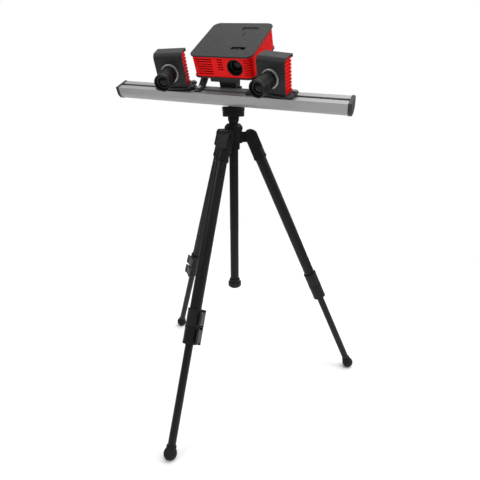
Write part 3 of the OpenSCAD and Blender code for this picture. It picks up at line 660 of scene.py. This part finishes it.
def unit_sockets(side):
    """Network and power sockets in the back of a camera unit."""
    local = UNIT[side]
    body = side + "_unit"
    shell = [((-23.6, 11.0, 16.8), (-8.4, 18.4, 17.7)), ((-23.6, 11.0, 23.1), (-8.4, 18.4, 24.0)),
             ((-23.6, 11.0, 17.5), (-22.7, 18.4, 23.3)), ((-9.3, 11.0, 17.5), (-8.4, 18.4, 23.3)),
             ((-23.4, 10.8, 17.0), (-8.6, 11.8, 23.8))]
    boxes(side + "_port_shell", shell, local, body, steel, 0.2)
    pins = [((-21.2 + 1.3 * i, 11.6, 22.2), (-20.6 + 1.3 * i, 17.2, 22.6)) for i in range(8)]
    boxes(side + "_port_contacts", pins, local, body, contact, 0.08)
    round_port = facing_back(local, 10, 11, 20.4)
    ring = [(0, 0), (4.85, 0), (4.85, 7.6), (4.5, 8.0), (3.9, 8.0), (3.7, 7.6), (3.7, 1.0), (0, 1.0)]
    lathe(side + "_power_socket", ring, round_port, body, port_black, 64)
    around = [(1.9 * math.cos(math.pi * i / 3), 1.9 * math.sin(math.pi * i / 3)) for i in range(6)]
    pins = [((x - 0.32, y - 0.32, 0.8), (x + 0.32, y + 0.32, 6.0)) for x, y in around]
    boxes(side + "_power_pins", pins, round_port, body, contact, 0.12)


def projector_sockets():
    for number, x in enumerate((-44, -22), start=1):
        tongue = [((x - 5.0, 63.8, -39.4), (x + 5.0, 72.0, -38.0))]
        boxes("data_port_tongue_%d" % number, tongue, PROJECTOR, "head", port_black, 0.2)
        strips = [((x - 3.9 + 2.2 * i, 64.2, -39.55), (x - 2.7 + 2.2 * i, 71.4, -39.35)) for i in range(4)]
        boxes("data_port_contacts_%d" % number, strips, PROJECTOR, "head", contact, 0.05)
    pin = [(0, 0), (1.0, 0), (1.0, 8.2), (0.6, 8.9), (0, 9.0)]
    lathe("power_inlet_pin", pin, facing_back(PROJECTOR, -62, 63, -37), "head", steel, 32)


def chips():
    """Components on the projector's board, seen through the slots."""
    low = -44.45
    packs = [((-62, 5, low), (-48, 19, low + 1.6)), ((-44, 1, low), (-36, 9, low + 1.2)),
             ((-34, 22, low), (-22, 34, low + 1.8)), ((-54, 28, low), (-42, 34, low + 1.2)),
             ((-36, -64, low), (-24, -56, low + 3.0)), ((-54, -60, low), (-40, -50, low + 2.2))]
    boxes("board_chips", packs, PROJECTOR, "head", port_black, 0.2)


def lever_grips(leg, which, low):
    """Finger ridges on the free edge of a lock lever."""
    ridges = [((6.8, 24.9, low + 5 + 2.6 * i), (11.5, 25.5, low + 6.3 + 2.6 * i)) for i in range(8)]
    boxes("%s_%s_lever_ridges" % (leg, which), ridges, LEG[leg], "%s_%s_lever" % (leg, which),
          NODES["front_upper_lever"].data.materials[0], 0.25)


for side in SIDES:
    lens_marks(side)
    unit_sockets(side)
projector_sockets()
chips()
for leg in LEGS:
    lever_grips(leg, "upper", UPPER_LEVER_LOW)
    lever_grips(leg, "lower", LOWER_LEVER_LOW)

# ---------------------------------------------------------------- studio

SKY_MIDDLE = (0.25, 0.30, 1.0)
SKY_FOCUS = 3.0
SKY_STRENGTH = 2.3
SKY_LOW = 0.30


def make_studio():
    floor = Shader("studio_floor")
    pale = floor.mix(floor.noise(0.002), rgb(0.90, 0.90, 0.90), rgb(0.92, 0.92, 0.92))
    floor.set(Base_Color=pale, Roughness=0.9)
    bm = bmesh.new()
    bmesh.ops.create_circle(bm, cap_ends=True, segments=96, radius=1.5)
    mesh = bpy.data.meshes.new("floor")
    bm.to_mesh(mesh)
    bm.free()
    mesh.materials.append(floor.material)
    plane = bpy.data.objects.new("floor", mesh)
    scene.collection.objects.link(plane)

    world = bpy.data.worlds.new("studio")
    world.use_nodes = True
    tree = world.node_tree
    link = tree.links.new
    white = tree.nodes["Background"]
    white.inputs["Color"].default_value = (1, 1, 1, 1)
    white.inputs["Strength"].default_value = 1.0
    direction = tree.nodes.new("ShaderNodeTexCoord")
    facing = tree.nodes.new("ShaderNodeVectorMath")
    facing.operation = "DOT_PRODUCT"
    facing.inputs[1].default_value = Vector(SKY_MIDDLE).normalized()
    link(direction.outputs["Generated"], facing.inputs[0])
    above = tree.nodes.new("ShaderNodeMath")
    above.operation = "MAXIMUM"
    above.inputs[1].default_value = 0.0
    link(facing.outputs["Value"], above.inputs[0])
    focus = tree.nodes.new("ShaderNodeMath")
    focus.operation = "POWER"
    focus.inputs[1].default_value = SKY_FOCUS
    link(above.outputs[0], focus.inputs[0])
    strength = tree.nodes.new("ShaderNodeMath")
    strength.operation = "MULTIPLY_ADD"
    strength.inputs[1].default_value = SKY_STRENGTH
    strength.inputs[2].default_value = SKY_LOW
    link(focus.outputs[0], strength.inputs[0])
    sky = tree.nodes.new("ShaderNodeBackground")
    sky.inputs["Color"].default_value = (1, 1, 1, 1)
    link(strength.outputs[0], sky.inputs["Strength"])
    seen = tree.nodes.new("ShaderNodeLightPath")
    both = tree.nodes.new("ShaderNodeMixShader")
    link(seen.outputs["Is Camera Ray"], both.inputs[0])
    link(sky.outputs[0], both.inputs[1])
    link(white.outputs[0], both.inputs[2])
    link(both.outputs[0], tree.nodes["World Output"].inputs["Surface"])
    scene.world = world

    def softbox(name, place, target, size, power):
        lamp = bpy.data.lights.new(name, "AREA")
        lamp.shape = "DISK"
        lamp.size = size
        lamp.energy = power
        obj = bpy.data.objects.new(name, lamp)
        obj.location = place
        obj.rotation_euler = (Vector(target) - Vector(place)).to_track_quat("-Z", "Y").to_euler()
        scene.collection.objects.link(obj)

    softbox("front_light", (-1.4, -2.4, 2.6), (0, 0, 0.7), 1.0, 26)
    softbox("side_light", (2.4, 0.5, 2.0), (0, 0, 0.7), 0.8, 14)


make_studio()
